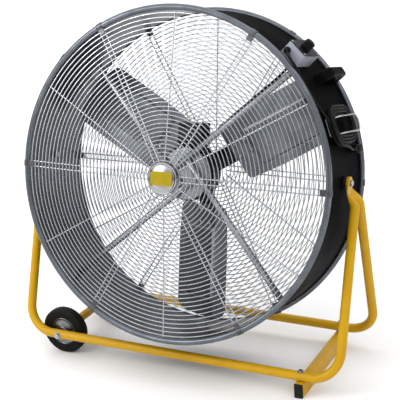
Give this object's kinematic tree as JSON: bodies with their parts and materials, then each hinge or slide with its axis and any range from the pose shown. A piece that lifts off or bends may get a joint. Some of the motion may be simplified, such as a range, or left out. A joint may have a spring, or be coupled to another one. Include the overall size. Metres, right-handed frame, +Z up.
{
  "type": "drum fan",
  "caption": "Large drum fan that tilts in a two-wheeled tube stand, with wire grilles, speed knob, carrying handles and a coiled power cord.",
  "frame": {"origin": "middle of the plan view on the floor, under the drum, without the power cord", "axes": "+X along the rails towards the foot bar, +Y to the rear (air blows towards -Y), +Z up"},
  "size_m": [1.0754, 0.502, 1.1038],
  "materials": {
    "yellow_paint": "gloss powder coat",
    "black_paint": "satin",
    "bright_steel": "bright zinc",
    "grille_wire": "bright zinc wire",
    "galvanised": "galvanised sheet and tube",
    "tyre_rubber": "matt",
    "black_plastic": "moulded",
    "cord_rubber": "matt",
    "grey_box": "moulded",
    "yellow_plate": "semi-gloss, bare of print"
  },
  "bodies": {
    "stand": {"front_frame": "yellow_paint", "rear_frame": "yellow_paint", "foot_bar": "yellow_paint", "foot_cap_front": "black_plastic", "foot_cap_rear": "black_plastic", "foot_bolt_front": "bright_steel", "foot_bolt_rear": "bright_steel", "axle_tube": "yellow_paint", "axle_bolt_front": "bright_steel", "axle_bolt_rear": "bright_steel"},
    "drum": {"drum_shell": "black_paint", "front_edge_ring": "bright_steel", "rear_edge_ring": "bright_steel", "front_grille": "grille_wire", "front_clip_1": "bright_steel", "front_clip_2": "bright_steel", "front_clip_3": "bright_steel", "front_clip_4": "bright_steel", "front_clip_5": "bright_steel", "front_clip_6": "bright_steel", "rear_grille": "grille_wire", "rear_clip_1": "bright_steel", "rear_clip_2": "bright_steel", "rear_clip_3": "bright_steel", "rear_clip_4": "bright_steel", "rear_clip_5": "bright_steel", "rear_clip_6": "bright_steel", "grille_cap": "bright_steel", "cap_plate": "yellow_plate", "support_tube_1": "galvanised", "support_tube_2": "galvanised", "support_tube_3": "galvanised", "support_tube_4": "galvanised", "motor_mount": "galvanised", "motor_body": "black_paint", "terminal_box": "black_paint", "motor_lead": "cord_rubber", "control_box": "grey_box", "control_cover": "black_paint", "cable_gland": "black_plastic", "tilt_handle_right": "black_plastic", "tilt_handle_left": "black_plastic", "cable_hanger": "bright_steel", "pivot_bolt_left": "bright_steel", "pivot_spacer_left": "black_paint", "pivot_bolt_right": "bright_steel", "pivot_spacer_right": "black_paint", "power_cord": "cord_rubber", "cord_coil": "cord_rubber", "plug": "black_plastic"},
    "impeller": {"motor_shaft": "bright_steel", "fan_hub": "black_paint", "fan_blade_1": "galvanised", "fan_blade_2": "galvanised", "fan_blade_3": "galvanised"},
    "knob": {"speed_knob": "black_plastic"},
    "front_wheel": {"front_tyre": "tyre_rubber", "front_wheel_disc": "bright_steel"},
    "rear_wheel": {"rear_tyre": "tyre_rubber", "rear_wheel_disc": "bright_steel"}
  },
  "joints": [
    {"name": "drum_tilt", "type": "hinge", "parent": "stand", "child": "drum", "pos_m": [0.00504, -0.00185, 0.60505], "axis": [0.9998, 0, -0.0193], "range_deg": [-78, 57]},
    {"name": "fan_spin", "type": "hinge", "parent": "drum", "child": "impeller", "pos_m": [0.00439, 0.08813, 0.5711], "axis": [-0.0039, 0.9792, -0.2027], "continuous": true},
    {"name": "speed_knob_turn", "type": "hinge", "parent": "drum", "child": "knob", "pos_m": [0.38059, 0.03504, 0.97823], "axis": [0.6957, 0.1483, 0.7029], "range_deg": [-120, 0]},
    {"name": "front_wheel_spin", "type": "hinge", "parent": "stand", "child": "front_wheel", "pos_m": [-0.41226, -0.14085, 0.075], "axis": [0, 1, 0], "continuous": true},
    {"name": "rear_wheel_spin", "type": "hinge", "parent": "stand", "child": "rear_wheel", "pos_m": [-0.41226, 0.13715, 0.075], "axis": [0, 1, 0], "continuous": true}
  ]
}
